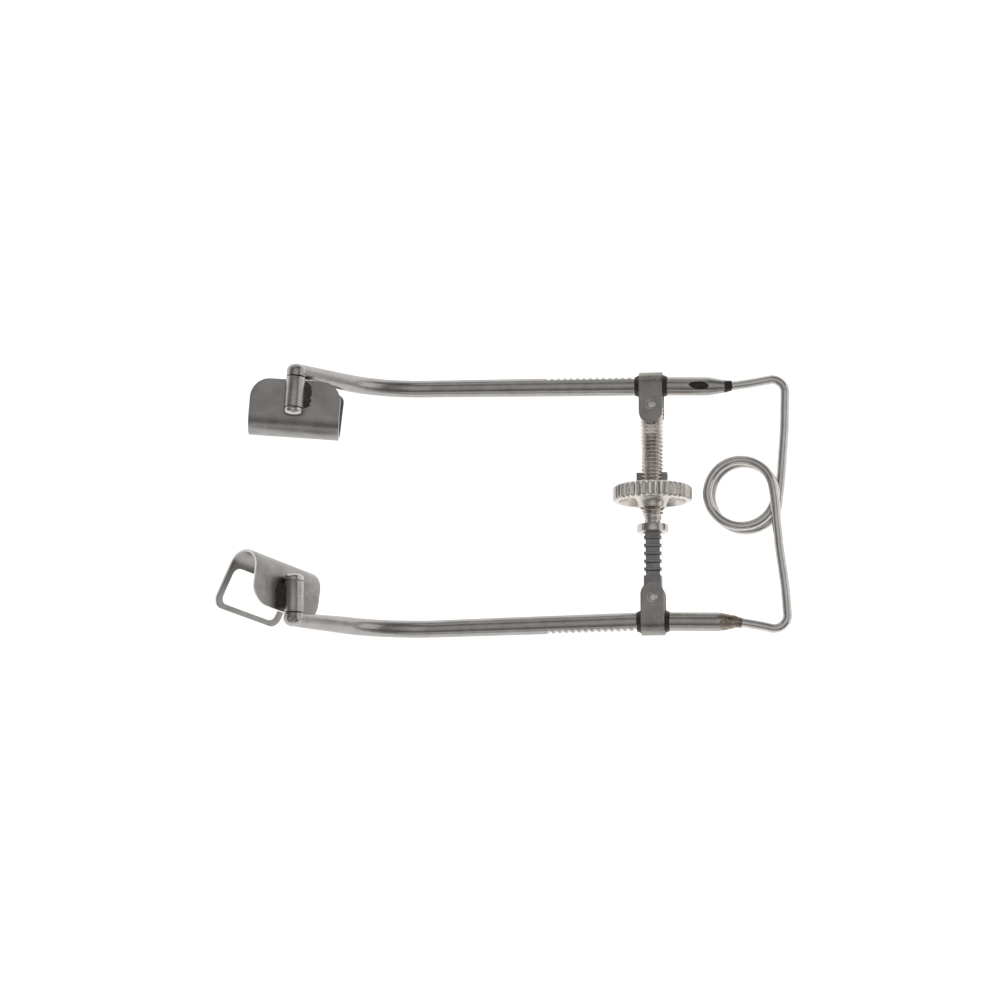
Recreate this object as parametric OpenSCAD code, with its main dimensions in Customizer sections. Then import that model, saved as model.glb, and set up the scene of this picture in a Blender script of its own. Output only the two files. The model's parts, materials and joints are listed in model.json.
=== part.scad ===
// Self-retaining cheek retractor: two spring-loaded arms with swivelling hook blades, held apart
// by a torsion spring and set by a thumb nut on a threaded cross rod.
// The tool is modelled as it lies on a table: resting on the rim of the nut and the two arm bends.

/* [Arms] */

// Radius of each arm at the straps, mm
arm_r = 2.0; // [1.7:0.05:2.1]

// Radius of each arm at its bend, mm
bend_r = 1.85; // [1.5:0.05:2.0]

// Half the distance between the arms at the straps, mm
arm_y = 25.45; // [25:0.05:27]

// How far the arms have drifted outward when they reach their bends, mm
arm_drift = 0.8; // [0:0.05:1.2]

// Distance from the rod to the corner of each arm bend, mm
bend_u = 58.5; // [55:0.5:64]

// Centre line radius of the arm bends, mm
bend_round = 21; // [12:0.5:26]

// Slope of the arm ends above the table, degrees
end_rise = 47; // [40:1:52]

// Length of the rising arm ends, mm
end_len = 25.6; // [23:0.2:28]

// Number of grip teeth along the outer edge of each arm
teeth = 14; // [8:1:15]

/* [Blades] */

// Width of each blade, mm
blade_w = 19.2; // [15:0.2:21]

// Thickness of the blade sheet, mm
blade_t = 0.6; // [0.5:0.05:0.8]

// Outside radius of the fold between plate and lip, mm
fold_r = 4.3; // [3.6:0.1:4.8]

// Angle at which the lip flares away from the plate, degrees
lip_flare = 24; // [10:1:28]

// Length of the flat lip, mm
lip_len = 9.7; // [8:0.1:10.4]

// Swivel of the upper blade on its pin, degrees
upper_swivel = 0; // [-8:1:8]

// Swivel of the lower blade on its pin, degrees
lower_swivel = 50; // [30:1:56]

/* [Nut and rod] */

// Radius of the thumb nut, mm
nut_r = 8.5; // [8:0.1:9.5]

// Height of the knurled band of the nut, mm
nut_h = 3.4; // [3:0.1:4]

// Number of flutes round the nut
flutes = 40; // [30:2:48]

// Radius of the threaded rod over its crests, mm
rod_r = 2.5; // [2.4:0.02:2.54]

// Number of ratchet ribs on the sliding bar
ribs = 5; // [3:1:5]

/* [Spring] */

// Radius of the spring wire, mm
wire_r = 1.0; // [0.8:0.05:1.1]

// Mean radius of the spring coil, mm
coil_r = 7.0; // [6.5:0.1:7.5]

/* [Hidden] */

$fn = 96;

steel = [0.72, 0.71, 0.70];
dull_steel = [0.55, 0.54, 0.53];
braze_black = [0.20, 0.19, 0.19];
solder_brown = [0.45, 0.36, 0.30];

// Where the whole tool stands, so that the middle of its footprint is the origin
shift_x = 31.405;
shift_y = 0;

// Height of a hairline used where one surface must stand clear of another
bump = 0.03;
// Running clearance of pins and sliding fits
run_fit = 0.08;

// The arms lie in a plane pitched by this angle, from the nut rim down to the arm bends
bend_start = bend_u - bend_round * tan((end_rise + 7.15) / 2);
pitch = asin((nut_r - bend_r - bend_round) / sqrt(bend_start * bend_start + bend_round * bend_round))
    + atan(bend_round / bend_start);
bend_turn = end_rise + pitch;
bend_tangent = bend_round * tan(bend_turn / 2);

// Arm stations in the plane of the arms: u along the arm, y across, w up out of the plane
bend_y = arm_y + arm_drift;
knuckle_u = -bend_u - end_len * cos(bend_turn);
knuckle_w = end_len * sin(bend_turn);
knuckle_y = 26.5;
knuckle_r = 2.05;
knuckle_in = 25.15;
knuckle_out = 28.0;
end_r = 1.45;
upper_tail = [15.9, 24.95];
lower_tail = [17.3, -25.85];
tail_len = 3.6;
tail_r = 1.32;
socket_len = 6;
tooth_pitch = 1.39;
tooth_depth = 0.55;
tooth_start = -3.4;

// Stirrup straps round the arms
strap_w = 5.0;
strap_t = 1.0;
upper_rivet_y = 20.9;
lower_rivet_y = -20.6;
upper_strap_end = 16.9;
lower_strap_end = -17.45;
rivet_r = 1.1;
rivet_proud = 0.15;
braze_w = 1.0;
braze_r = 2.35;
plug_u = 10.3;
plug_len = 4.0;
plug_w = 1.8;
plug_depth = 0.5;

// Threaded rod, collar and sliding bar, by height along the rod
eye_r = 2.2;
flat_w = 1.92;
flat_y = 14.7;
thread_end = -2.95;
neck_r = 2.05;
collar_top = -4.73;
collar_bottom = -6.37;
collar_r = 3.4;
slot_w = 1.05;
slot_top = 12.3;
bar_w = 0.97;
bar_r = 1.95;
rib_top = -7.2;
rib_pitch = 1.7;
rib_in_u = 0.45;
rib_in_w = 0.3;
lug_r = 2.1;
lug_w = 1.7;
lug_hole = 1.4;
lug_top = -15.4;

// Cross key on top of the nut
key_u = 3.3;
key_bottom = 3.72;
key_top = 6.5;
key_w = 1.0;
tenon_u = 0.9;
tenon_w = 0.5;

// Thumb nut
nut_bottom = 0.2;
boss_drop = 1.35;
boss_r = 3.2;
nut_bore = 2.6;
flute_depth = 0.35;
recess_in = 3.9;
recess_out = 7.2;
recess_depth = 1.1;
nut_edge = 0.35;

// Spring coil and legs in the plane of the arms
coil_c = [18.8, 1.53];
coil_w = 1.5;
coil_sweep = 290;
upper_corner = [28.7, 26.5];
lower_corner = [28.4, -28.0];
upper_knee = [27.9, 11.5];
lower_knee = [27.2, -11.8];
upper_touch = [24.98, -1.76];
lower_touch = [25.14, 4.49];
corner_round = 2.8;

// Swivel pins and barrels
pin_r = 1.2;
barrel_r = 2.05;
barrel_in = 18.45;
barrel_out = 25.0;
barrel_mid = (barrel_in + barrel_out) / 2;
cap_in = 16.85;
cap_gap = 0.15;
cap_seat = 0.8;
upper_pin_tilt = 4;
lower_pin_tilt = 0;
lower_plate_turn = 9;

// Blade sheet, measured from the middle of its barrel
plate_out = 3.2;
fold_tip = -8.4;
plate_corner = 4.2;
lip_corner = 2.3;
window_from = 1.2;
frame_side = 1.8;
frame_end = 1.2;
window_corner = 1.6;

// ---- Placing ----

// Puts the plane of the arms on the table, resting on the nut and the arm bends
module at_rest() {
    translate([shift_x, shift_y, nut_r]) rotate([0, -pitch, 0]) children();
}

// The lower arm side is the mirror image of the upper one
module lower_side() {
    mirror([0, 1, 0]) children();
}

// Stands at the knuckle with its axes level with the table, turned with the pin
module at_pin(tilt) {
    translate([shift_x, shift_y, nut_r]) rotate([0, -pitch, 0]) translate([knuckle_u, knuckle_y, knuckle_w])
        rotate([0, pitch, 0]) rotate([0, 0, -tilt]) translate([0, -knuckle_y, 0]) children();
}

// Cylinder or cone from point p to point q
module bar_between(p, q, r1, r2) {
    v = q - p;
    len = norm(v);
    translate(p) rotate([0, acos(v[2] / len), atan2(v[1], v[0])]) cylinder(h = len, r1 = r1, r2 = r2);
}

// Ball that closes a bend of a round bar, with its poles along the bar
module ball(at, along, r) {
    translate(at) rotate([0, acos(along[2] / norm(along)), atan2(along[1], along[0])]) sphere(r = r);
}

// Round bar along y between two heights
module along_y(y1, y2, r) {
    translate([0, y2, 0]) rotate([90, 0, 0]) cylinder(h = y2 - y1, r = r);
}

// ---- Arms ----

// Grip teeth filed into the outer edge of an arm
module grip_teeth() {
    base = arm_y + arm_r - tooth_depth;
    for (i = [0 : teeth - 1])
        translate([tooth_start - i * tooth_pitch, base, -arm_r - 1])
            linear_extrude(height = 2 * arm_r + 2)
                polygon([[0, tooth_depth + 1], [0, tooth_depth], [-tooth_pitch * 0.38, 0],
                    [-tooth_pitch, tooth_depth], [-tooth_pitch, tooth_depth + 1]]);
}

// One arm of the upper side: grip bar, bend, rising end and pin knuckle, with its spring socket
module arm_body(tail) {
    v = (tail - [0, arm_y]) / norm(tail - [0, arm_y]);
    shoulder = tail - v * tail_len;
    socket = tail - v * socket_len;
    bend_from = [-bend_u + bend_tangent, bend_y, 0];
    bend_to = [-bend_u - bend_tangent * cos(bend_turn), bend_y, bend_tangent * sin(bend_turn)];
    knuckle = [knuckle_u, knuckle_y, knuckle_w];
    difference() {
        union() {
            bar_between([0, arm_y, 0], [shoulder[0], shoulder[1], 0], arm_r, arm_r);
            bar_between([shoulder[0], shoulder[1], 0], [tail[0], tail[1], 0], arm_r, tail_r);
            ball([0, arm_y, 0], [0, arm_y, 0] - bend_from, arm_r + bump);
            ball([shoulder[0], shoulder[1], 0], [v[0], v[1], 0], arm_r + bump / 3);
            bar_between(bend_from, [0, arm_y, 0], bend_r, arm_r);
            ball(bend_from, [1, 0, 0], bend_r + bump);
            translate([bend_from[0], bend_y, bend_round]) rotate([90, 0, 0]) rotate([0, 0, -90 - bend_turn])
                rotate_extrude(angle = bend_turn) translate([bend_round, 0]) circle(r = bend_r);
            ball(bend_to, knuckle - bend_to, bend_r + bump);
            bar_between(bend_to, knuckle, bend_r, end_r);
            knuckle_body();
        }
        bar_between([socket[0], socket[1], 0], [tail[0] + v[0], tail[1] + v[1], 0], wire_r, wire_r);
    }
}

// Domed knuckle that holds the pin
module knuckle_body() {
    translate([knuckle_u, 0, knuckle_w]) rotate([0, pitch, 0]) {
        along_y(knuckle_in, knuckle_out - 1.1, knuckle_r);
        translate([0, knuckle_out - 1.1, 0]) rotate([-90, 0, 0])
            cylinder(h = 1.1, r1 = knuckle_r, r2 = knuckle_r * 0.55);
    }
}

module upper_arm() {
    color(steel) difference() {
        at_rest() difference() {
            arm_body(upper_tail);
            grip_teeth();
            plug_shape(0);
        }
        at_pin(upper_pin_tilt) pin_shape();
    }
}

module lower_arm() {
    color(steel) difference() {
        at_rest() lower_side() difference() {
            arm_body([lower_tail[0], -lower_tail[1]]);
            grip_teeth();
        }
        lower_side() at_pin(lower_pin_tilt) pin_shape();
    }
}

// Solder filled hole in the face of the upper arm
module plug_shape(proud) {
    y = arm_y + (upper_tail[1] - arm_y) * plug_u / upper_tail[0];
    for (side = [-1, 1])
        translate([plug_u + side * (plug_len - plug_w) / 2, y, arm_r - plug_depth])
            cylinder(h = plug_depth + 1, r = plug_w / 2);
    translate([plug_u - (plug_len - plug_w) / 2, y - plug_w / 2, arm_r - plug_depth])
        cube([plug_len - plug_w, plug_w, plug_depth + 1]);
}

module upper_solder_plug() {
    y = arm_y + (upper_tail[1] - arm_y) * plug_u / upper_tail[0];
    color(braze_black) at_rest() intersection() {
        plug_shape(0);
        bar_between([plug_u - plug_len, y + 0.12, 0], [plug_u + plug_len, y - 0.12, 0], arm_r, arm_r);
    }
}

// ---- Pins and caps ----

// Pin standing in the knuckle and running through the barrel
module pin_shape() {
    along_y(cap_in + cap_seat, knuckle_in + 1.5, pin_r);
}

// Domed cap riveted on the inner end of the pin
module cap_shape() {
    top = barrel_in - cap_gap;
    difference() {
        union() {
            along_y(cap_in + cap_seat, top, barrel_r);
            translate([0, cap_in + cap_seat, 0]) rotate([90, 0, 0])
                cylinder(h = cap_seat, r1 = barrel_r, r2 = barrel_r * 0.62);
        }
        pin_shape();
    }
}

module upper_pivot_pin() {
    color(steel) at_pin(upper_pin_tilt) pin_shape();
}

module lower_pivot_pin() {
    color(steel) lower_side() at_pin(lower_pin_tilt) pin_shape();
}

module upper_pin_cap() {
    color(steel) at_pin(upper_pin_tilt) cap_shape();
}

module lower_pin_cap() {
    color(steel) lower_side() at_pin(lower_pin_tilt) cap_shape();
}

// ---- Blades ----

// Puts a blade on its pin: its origin is the middle of the barrel, turned by the swivel
module on_upper_pin() {
    at_pin(upper_pin_tilt) translate([0, barrel_mid, 0]) rotate([0, -upper_swivel, 0]) children();
}

module on_lower_pin() {
    lower_side() at_pin(lower_pin_tilt) translate([0, barrel_mid, 0]) rotate([0, lower_swivel, 0])
        mirror([1, 0, 0]) children();
}

module barrel_shape() {
    half = barrel_mid - barrel_in;
    difference() {
        along_y(-half, half, barrel_r);
        along_y(-half - 1, half + 1, pin_r + run_fit);
    }
}

// Tab of sheet from y = 0 to len with rounded far corners
module tab(w, len, corner) {
    translate([-w / 2, 0]) square([w, len - corner]);
    translate([-w / 2 + corner, 0]) square([w - 2 * corner, len]);
    for (side = [-1, 1])
        translate([side * (w / 2 - corner), len - corner]) circle(r = corner);
}

// Rounded window in the lip
module lip_window() {
    w = blade_w - 2 * frame_side;
    len = lip_len - frame_end - window_from;
    translate([-w / 2 + window_corner, 0]) square([w - 2 * window_corner, len]);
    translate([-w / 2, window_corner]) square([w, len - 2 * window_corner]);
    for (side = [-1, 1])
        for (y = [window_corner, len - window_corner])
            translate([side * (w / 2 - window_corner), y]) circle(r = window_corner);
}

// Folded sheet: plate on the barrel, fold at the inner end, flared lip with its window
module blade_shape() {
    face = -barrel_r;
    fold_y = fold_tip + fold_r;
    fold_z = face - fold_r;
    turn = 180 - lip_flare;
    translate([0, fold_y, face - blade_t]) linear_extrude(height = blade_t)
        tab(blade_w, plate_out - fold_y, plate_corner);
    translate([-blade_w / 2, fold_y, fold_z]) rotate([0, 90, 0]) rotate([0, 0, 180])
        rotate_sector(turn);
    translate([0, fold_y, fold_z]) rotate([turn, 0, 0]) translate([0, 0, fold_r - blade_t])
        difference() {
            mirror([0, 1, 0]) linear_extrude(height = blade_t) tab(blade_w, lip_len, lip_corner);
            mirror([0, 1, 0]) translate([0, window_from, -1]) linear_extrude(height = blade_t + 2)
                lip_window();
        }
}

// Part of a round tube as wide as the blade, its ends let into the plate and the lip
module rotate_sector(turn) {
    rotate([0, 0, -2]) rotate_extrude(angle = turn + 4)
        translate([fold_r - blade_t + 0.02, 0.02]) square([blade_t - 0.04, blade_w - 0.04]);
}

// Black braze fillet along one side of the barrel
module barrel_braze_shape() {
    half = 2.9;
    difference() {
        translate([0, half, 0]) rotate([90, 0, 0]) linear_extrude(height = 2 * half)
            polygon([[1.0, -barrel_r], [3.3, -barrel_r], [3.0, -1.7], [2.4, -1.0], [1.95, -0.4], [1.2, -0.6]]);
        along_y(-half - 1, half + 1, barrel_r);
    }
}

module upper_blade_barrel() {
    color(steel) on_upper_pin() barrel_shape();
}

module lower_blade_barrel() {
    color(steel) on_lower_pin() barrel_shape();
}

module upper_blade() {
    color(dull_steel) on_upper_pin() blade_shape();
}

module lower_blade() {
    color(dull_steel) on_lower_pin() rotate([0, 0, -lower_plate_turn]) blade_shape();
}

module upper_barrel_braze() {
    color(braze_black) on_upper_pin() barrel_braze_shape();
}

module lower_barrel_braze() {
    color(braze_black) on_lower_pin() barrel_braze_shape();
}

// ---- Straps and rivets ----

// Stirrup strap bored to fit its arm, its legs running down to end_y
module strap_shape(end_y, rivet_y, bore) {
    outer = arm_r + strap_t;
    round_y = end_y + strap_w / 2;
    difference() {
        intersection() {
            union() {
                translate([-strap_w / 2, arm_y, 0]) rotate([0, 90, 0]) cylinder(h = strap_w, r = outer);
                translate([-strap_w / 2, end_y, -outer]) cube([strap_w, arm_y - end_y, 2 * outer]);
            }
            union() {
                translate([0, round_y, -outer - 1]) cylinder(h = 2 * outer + 2, r = strap_w / 2);
                translate([-strap_w / 2, round_y, -outer - 1]) cube([strap_w, arm_y, 2 * outer + 2]);
            }
        }
        translate([-strap_w, arm_y, 0]) rotate([0, 90, 0]) cylinder(h = 2 * strap_w, r = bore);
        translate([-strap_w, end_y - 1, -arm_r]) cube([2 * strap_w, arm_y - end_y + 1, 2 * arm_r]);
        translate([0, rivet_y, -outer - 1]) cylinder(h = 2 * outer + 2, r = rivet_r);
    }
}

// Two black rings of braze where the strap meets the arm, each bored to the slope of its side
module strap_braze_shape(tail) {
    slope = (tail[1] - arm_y) / tail[0];
    drift = arm_drift / (bend_tangent - bend_u);
    for (side = [-1, 1])
        difference() {
            translate([side * (strap_w + braze_w) / 2 - braze_w / 2, arm_y, 0]) rotate([0, 90, 0])
                cylinder(h = braze_w, r = braze_r);
            bar_between([0, arm_y, 0], [side * 5, arm_y + side * 5 * (side > 0 ? slope : drift), 0],
                arm_r + 0.02, arm_r + 0.02);
        }
}

module rivet_shape(y) {
    half = arm_r + strap_t + rivet_proud;
    translate([0, y, -half]) cylinder(h = 2 * half, r = rivet_r);
}

module upper_strap() {
    color(steel) at_rest() strap_shape(upper_strap_end, upper_rivet_y, arm_r + 0.04);
}

module lower_strap() {
    color(steel) at_rest() lower_side() strap_shape(-lower_strap_end, -lower_rivet_y, arm_r + 0.07);
}

module upper_strap_braze() {
    color(braze_black) at_rest() strap_braze_shape(upper_tail);
}

module lower_strap_braze() {
    color(braze_black) at_rest() lower_side() strap_braze_shape([lower_tail[0], -lower_tail[1]]);
}

module upper_rivet() {
    color(steel) at_rest() rivet_shape(upper_rivet_y);
}

module lower_rivet() {
    color(steel) at_rest() rivet_shape(lower_rivet_y);
}

// ---- Spring ----

// Solder cone where the wire leaves the arm
module wire_solder_shape(tail, corner) {
    v = (corner - tail) / norm(corner - tail);
    tip = tail + v * 1.3;
    difference() {
        bar_between([tail[0], tail[1], 0], [tip[0], tip[1], 0], tail_r, wire_r + 0.12);
        spring_lead(tail, corner);
    }
}

// Straight wire from the arm socket to the corner of the leg
module spring_lead(tail, corner) {
    v = (corner - tail) / norm(corner - tail);
    stop = corner - v * 3.2;
    bar_between([tail[0], tail[1], 0], [stop[0], stop[1], 0], wire_r, wire_r);
}

// Leg of the spring: wire in the socket, rounded corner, run down to the coil
module spring_leg(base, tail, corner, knee, touch, w) {
    s = (tail - base) / norm(tail - base);
    root = tail - s * (socket_len - 0.2);
    v = (corner - tail) / norm(corner - tail);
    d = (knee - corner) / norm(knee - corner);
    turn = acos(v * d);
    tangent = corner_round * tan(turn / 2);
    from = corner - v * tangent;
    to = corner + d * tangent;
    side = corner[1] > 0 ? -1 : 1;
    centre = from + side * corner_round * [-v[1], v[0]];
    bar_between([root[0], root[1], 0], [tail[0], tail[1], 0], wire_r, wire_r);
    ball([tail[0], tail[1], 0], [v[0], v[1], 0], wire_r + bump / 3);
    bar_between([tail[0], tail[1], 0], [from[0], from[1], 0], wire_r, wire_r);
    ball([from[0], from[1], 0], [v[0], v[1], 0], wire_r + bump);
    translate([centre[0], centre[1], 0])
        rotate([0, 0, side < 0 ? atan2(to[1] - centre[1], to[0] - centre[0])
                               : atan2(from[1] - centre[1], from[0] - centre[0])])
            rotate_extrude(angle = turn) translate([corner_round, 0]) circle(r = wire_r);
    ball([to[0], to[1], 0], [d[0], d[1], 0], wire_r + bump);
    bar_between([to[0], to[1], 0], [knee[0], knee[1], 0], wire_r, wire_r);
    ball([knee[0], knee[1], 0], [d[0], d[1], 0], wire_r + bump);
    bar_between([knee[0], knee[1], 0], [touch[0], touch[1], w], wire_r, wire_r);
}

// Turn of the coil, run back from the foot of its leg; side is -1 where the leg comes from above
module coil_turn(touch, side, w) {
    foot = atan2(touch[1] - coil_c[1], touch[0] - coil_c[0]);
    ball([touch[0], touch[1], w], [-sin(foot), cos(foot), 0], wire_r + bump);
    translate([coil_c[0], coil_c[1], w]) rotate([0, 0, side < 0 ? foot - coil_sweep : foot])
        rotate_extrude(angle = coil_sweep) translate([coil_r, 0]) circle(r = wire_r);
}

module spring_upper() {
    color(steel) at_rest() {
        spring_leg([0, arm_y], upper_tail, upper_corner, upper_knee, upper_touch, -coil_w);
        coil_turn(upper_touch, -1, -coil_w);
    }
}

module spring_lower() {
    color(steel) at_rest() {
        spring_leg([0, -arm_y], lower_tail, lower_corner, lower_knee, lower_touch, coil_w);
        coil_turn(lower_touch, 1, coil_w);
    }
}

module upper_wire_solder() {
    color(braze_black) at_rest() wire_solder_shape(upper_tail, upper_corner);
}

module lower_wire_solder() {
    color(solder_brown) at_rest() wire_solder_shape(lower_tail, lower_corner);
}

// ---- Rod, collar, bar, key and nut ----

// Threaded rod: riveted eye with two flats at the top, slotted for the bar, smooth neck at the foot
module threaded_rod() {
    color(steel) at_rest() difference() {
        union() {
            along_y(thread_end, upper_rivet_y, rod_r);
            along_y(collar_bottom, thread_end, neck_r);
            intersection() {
                along_y(upper_rivet_y, upper_rivet_y + eye_r + 1, rod_r);
                translate([0, upper_rivet_y, -rod_r - 1]) cylinder(h = 2 * rod_r + 2, r = eye_r);
            }
        }
        for (side = [-1, 1])
            translate([-rod_r - 1, flat_y, side > 0 ? flat_w : -flat_w - 2])
                cube([2 * rod_r + 2, upper_rivet_y, 2]);
        translate([-rod_r - 1, collar_bottom - 1, -slot_w])
            cube([2 * rod_r + 2, slot_top - collar_bottom + 1, 2 * slot_w]);
        translate([0, upper_rivet_y, -rod_r - 1]) cylinder(h = 2 * rod_r + 2, r = rivet_r + run_fit);
    }
}

// Collar that closes the slotted foot of the rod and stops the nut
module rod_collar() {
    color(steel) at_rest() difference() {
        along_y(collar_bottom, collar_top, collar_r);
        along_y(collar_bottom - 1, collar_top + 1, neck_r);
    }
}

// Outline of the ribs, half width as a function of height, repeated on both sides
function rib_edge(half, step) = [for (i = [0 : ribs - 1]) each [
    [half, rib_top - i * rib_pitch],
    [half, rib_top - i * rib_pitch - rib_pitch * 0.25],
    [half - step, rib_top - (i + 1) * rib_pitch + 0.05],
    [half - step * 0.4, rib_top - (i + 1) * rib_pitch + 0.02]]];

function flip(points) = [for (i = [len(points) - 1 : -1 : 0]) [-points[i][0], points[i][1]]];

module rib_outline(half, step) {
    side = rib_edge(half, step);
    foot = rib_top - ribs * rib_pitch;
    polygon(concat([[half, key_bottom], [half, rib_top]], side, [[half - step, foot], [-half + step, foot]],
        flip(side), [[-half, rib_top], [-half, key_bottom]]));
}

// Sliding bar: plain in the slot, ribbed below the collar, with a lug on the lower rivet
module ratchet_bar() {
    foot = rib_top - ribs * rib_pitch;
    color(dull_steel) at_rest() {
        difference() {
            union() {
                intersection() {
                    translate([0, 0, -bar_r - 1]) linear_extrude(height = 2 * bar_r + 2)
                        rib_outline(bar_r, rib_in_u);
                    rotate([0, -90, 0]) translate([0, 0, -bar_r - 1])
                        linear_extrude(height = 2 * bar_r + 2) rib_outline(bar_w, rib_in_w);
                    along_y(foot - 1, key_bottom + 1, bar_r);
                }
                translate([-tenon_u, key_bottom - 0.5, -tenon_w])
                    cube([2 * tenon_u, key_top - key_bottom, 2 * tenon_w]);
                translate([-bar_r + 0.05, lower_rivet_y, -lug_w])
                    cube([2 * bar_r - 0.1, lug_top - lower_rivet_y, 2 * lug_w]);
                translate([0, lower_rivet_y, -lug_w]) cylinder(h = 2 * lug_w, r = lug_r);
            }
            translate([0, lower_rivet_y, -lug_w - 1]) cylinder(h = 2 * lug_w + 2, r = lug_hole);
        }
    }
}

// Cross key whose ears bear on top of the nut
module cross_key() {
    color(dull_steel) at_rest() difference() {
        translate([-key_u, key_bottom, -key_w]) cube([2 * key_u, key_top - key_bottom, 2 * key_w]);
        translate([-tenon_u, key_bottom - 0.5, -tenon_w])
            cube([2 * tenon_u, key_top - key_bottom, 2 * tenon_w]);
    }
}

// Knurled outline of the nut: flutes round the rim
function knurl_points(r) = [for (i = [0 : flutes - 1]) for (step = [0 : 3])
    let (a = (i + [0, 0.36, 0.5, 0.86][step]) * 360 / flutes, rr = r - [0, 0, flute_depth, flute_depth][step])
    [rr * cos(a), rr * sin(a)]];

// Thumb nut: knurled rim, recess and conical boss underneath
module thumb_nut() {
    top = nut_bottom + nut_h;
    color(steel) at_rest() translate([0, top, 0]) rotate([90, 0, 0]) difference() {
        union() {
            intersection() {
                linear_extrude(height = nut_h) polygon(knurl_points(nut_r));
                rotate_extrude() polygon([[0, 0], [nut_r - nut_edge, 0], [nut_r + 0.01, nut_edge],
                    [nut_r + 0.01, nut_h - nut_edge], [nut_r - nut_edge, nut_h], [0, nut_h]]);
            }
            rotate_extrude() polygon([[0, nut_h - recess_depth - 0.2], [boss_r - 0.3, nut_h - recess_depth - 0.2],
                [boss_r - 0.3, nut_h], [boss_r, nut_h + boss_drop - 0.3], [boss_r - 0.2, nut_h + boss_drop],
                [0, nut_h + boss_drop]]);
        }
        difference() {
            translate([0, 0, nut_h - recess_depth]) cylinder(h = recess_depth + 1, r1 = recess_out - 0.3, r2 = recess_out + 0.2);
            rotate_extrude() polygon([[0, 0], [recess_in - 0.5, 0], [recess_in - 0.6, nut_h - recess_depth],
                [boss_r - 0.4, nut_h - 0.2], [boss_r, nut_h + 2], [0, nut_h + 2]]);
        }
        translate([0, 0, -1]) cylinder(h = nut_h + boss_drop + 2, r = nut_bore);
    }
}

// ---- What is drawn ----

upper_arm();
upper_pivot_pin();
upper_pin_cap();
upper_strap();
upper_strap_braze();
upper_rivet();
upper_wire_solder();
upper_solder_plug();
spring_upper();
upper_blade_barrel();
upper_blade();
upper_barrel_braze();
lower_arm();
lower_pivot_pin();
lower_pin_cap();
lower_strap();
lower_strap_braze();
lower_rivet();
lower_wire_solder();
spring_lower();
lower_blade_barrel();
lower_blade();
lower_barrel_braze();
threaded_rod();
rod_collar();
ratchet_bar();
cross_key();
thumb_nut();
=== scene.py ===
# Self-retaining cheek retractor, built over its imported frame. Lengths are in millimetres.
import json
from math import asin, cos, pi, radians, sin, sqrt, tan

import bmesh
import bpy
from mathutils import Matrix, Vector, noise

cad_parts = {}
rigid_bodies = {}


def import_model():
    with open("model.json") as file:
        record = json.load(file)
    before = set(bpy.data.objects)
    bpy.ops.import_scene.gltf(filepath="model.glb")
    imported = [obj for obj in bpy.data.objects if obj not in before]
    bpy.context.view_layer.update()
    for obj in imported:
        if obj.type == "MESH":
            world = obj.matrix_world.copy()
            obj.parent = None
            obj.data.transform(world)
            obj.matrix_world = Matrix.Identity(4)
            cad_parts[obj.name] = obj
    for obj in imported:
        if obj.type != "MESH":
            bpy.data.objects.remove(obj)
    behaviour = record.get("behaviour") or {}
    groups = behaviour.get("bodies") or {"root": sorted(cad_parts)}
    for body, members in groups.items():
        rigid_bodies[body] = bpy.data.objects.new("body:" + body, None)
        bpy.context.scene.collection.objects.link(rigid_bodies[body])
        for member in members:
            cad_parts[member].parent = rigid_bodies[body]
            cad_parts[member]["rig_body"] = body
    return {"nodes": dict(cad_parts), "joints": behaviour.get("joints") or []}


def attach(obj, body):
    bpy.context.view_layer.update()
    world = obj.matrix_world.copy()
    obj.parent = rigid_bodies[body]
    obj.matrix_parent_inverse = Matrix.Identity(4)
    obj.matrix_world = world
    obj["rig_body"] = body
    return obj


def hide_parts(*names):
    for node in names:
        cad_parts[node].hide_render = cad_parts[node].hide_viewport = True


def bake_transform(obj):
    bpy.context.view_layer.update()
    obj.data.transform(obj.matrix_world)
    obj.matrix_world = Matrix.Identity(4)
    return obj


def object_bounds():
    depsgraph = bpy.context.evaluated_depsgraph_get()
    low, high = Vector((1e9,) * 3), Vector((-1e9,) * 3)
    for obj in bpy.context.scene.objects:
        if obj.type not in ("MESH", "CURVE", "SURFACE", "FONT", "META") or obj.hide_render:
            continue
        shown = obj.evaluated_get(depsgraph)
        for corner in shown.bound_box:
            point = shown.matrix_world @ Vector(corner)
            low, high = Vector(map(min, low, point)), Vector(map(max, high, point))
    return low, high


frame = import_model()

cad_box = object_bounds()
MM = 0.001
joints = {joint["name"]: joint for joint in frame["joints"]}

# The plane of the arms: along the arms towards the spring, across them, and up out of the plane
up = Vector(joints["arm_spread"]["axis"])
along = Vector((up.z, 0, -up.x))
across = Vector((0, 1, 0))
nut_middle = Vector(joints["nut_spin"]["pos_m"])
pitch = asin(along.z)


def plane(u, y, w=0.0):
    """A point in the plane of the arms"""
    return nut_middle + (along * u + across * y + up * w) * MM


def turned(angle):
    return cos(radians(angle)), sin(radians(angle))


# ---- Mesh making ----


def piece_from(name, verts, faces, smooth_below=35):
    """A closed mesh object with outward faces; edges sharper than the angle stay crisp"""
    mesh = bpy.data.meshes.new(name)
    mesh.from_pydata([tuple(v) for v in verts], [], faces)
    work = bmesh.new()
    work.from_mesh(mesh)
    bmesh.ops.remove_doubles(work, verts=work.verts, dist=1e-7)
    bmesh.ops.recalc_face_normals(work, faces=work.faces)
    work.to_mesh(mesh)
    work.free()
    mesh.polygons.foreach_set("use_smooth", [True] * len(mesh.polygons))
    mesh.set_sharp_from_angle(angle=radians(smooth_below))
    piece = bpy.data.objects.new(name, mesh)
    bpy.context.scene.collection.objects.link(piece)
    return piece


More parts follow.
